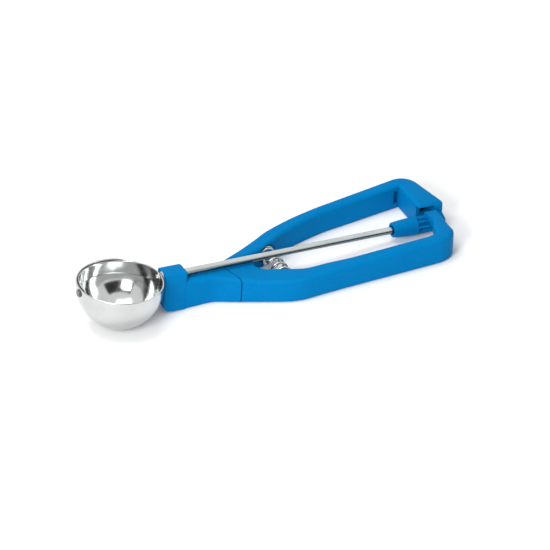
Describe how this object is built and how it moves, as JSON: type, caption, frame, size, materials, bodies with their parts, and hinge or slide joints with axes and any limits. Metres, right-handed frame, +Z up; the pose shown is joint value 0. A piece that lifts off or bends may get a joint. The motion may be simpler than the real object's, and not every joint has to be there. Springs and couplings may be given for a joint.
{
  "type": "lever ice cream scoop",
  "caption": "Squeeze-handle ice cream scoop: closing the hinged grip drives a rack and pinion that sweeps a scraper blade round a half-round steel bowl.",
  "frame": {"origin": "The middle of the neck's flat underside, on the table that the scoop lies on.", "axes": "+X from the bowl towards the hand end, +Z up, +Y towards the fixed arm; the lever is on the -Y side."},
  "size_m": [0.2277, 0.0705, 0.0314],
  "materials": {
    "polished_steel": "polished stainless steel",
    "plain_steel": "drawn stainless steel",
    "spring_steel": "bright spring wire",
    "blue_plastic": "moulded plastic with a satin sheen",
    "bush_plastic": "plain moulded plastic"
  },
  "bodies": {
    "handle": {"handle_body": "blue_plastic", "bowl": "polished_steel", "bowl_tang": "plain_steel", "front_pivot_rivet": "plain_steel", "pivot_washer": "plain_steel", "rod_bush": "bush_plastic", "tail_bush": "bush_plastic", "thrust_washer": "bush_plastic", "lever_pivot_pin": "plain_steel", "return_spring": "spring_steel"},
    "lever": {"lever_arm": "blue_plastic"},
    "spindle": {"drive_rod": "plain_steel", "scraper_blade": "polished_steel", "pinion": "blue_plastic"}
  },
  "joints": [
    {"name": "lever_hinge", "type": "hinge", "parent": "handle", "child": "lever", "pos_m": [0.01685, 0, 0.00748], "axis": [0.1023, 0, 0.9948], "range_deg": [0, 6.07], "stiffness_Nm_per_rad": 2, "springref_deg": -3.44, "deforming": ["return_spring"]},
    {"name": "spindle_spin", "type": "hinge", "parent": "handle", "child": "spindle", "pos_m": [-0.05573, 0, 0.025], "axis": [0.9948, 0, -0.1023], "range_deg": [-168.5, 0.5]}
  ],
  "couplings": [
    {"joint": "spindle_spin", "follows": "lever_hinge", "ratio": -27.667}
  ]
}
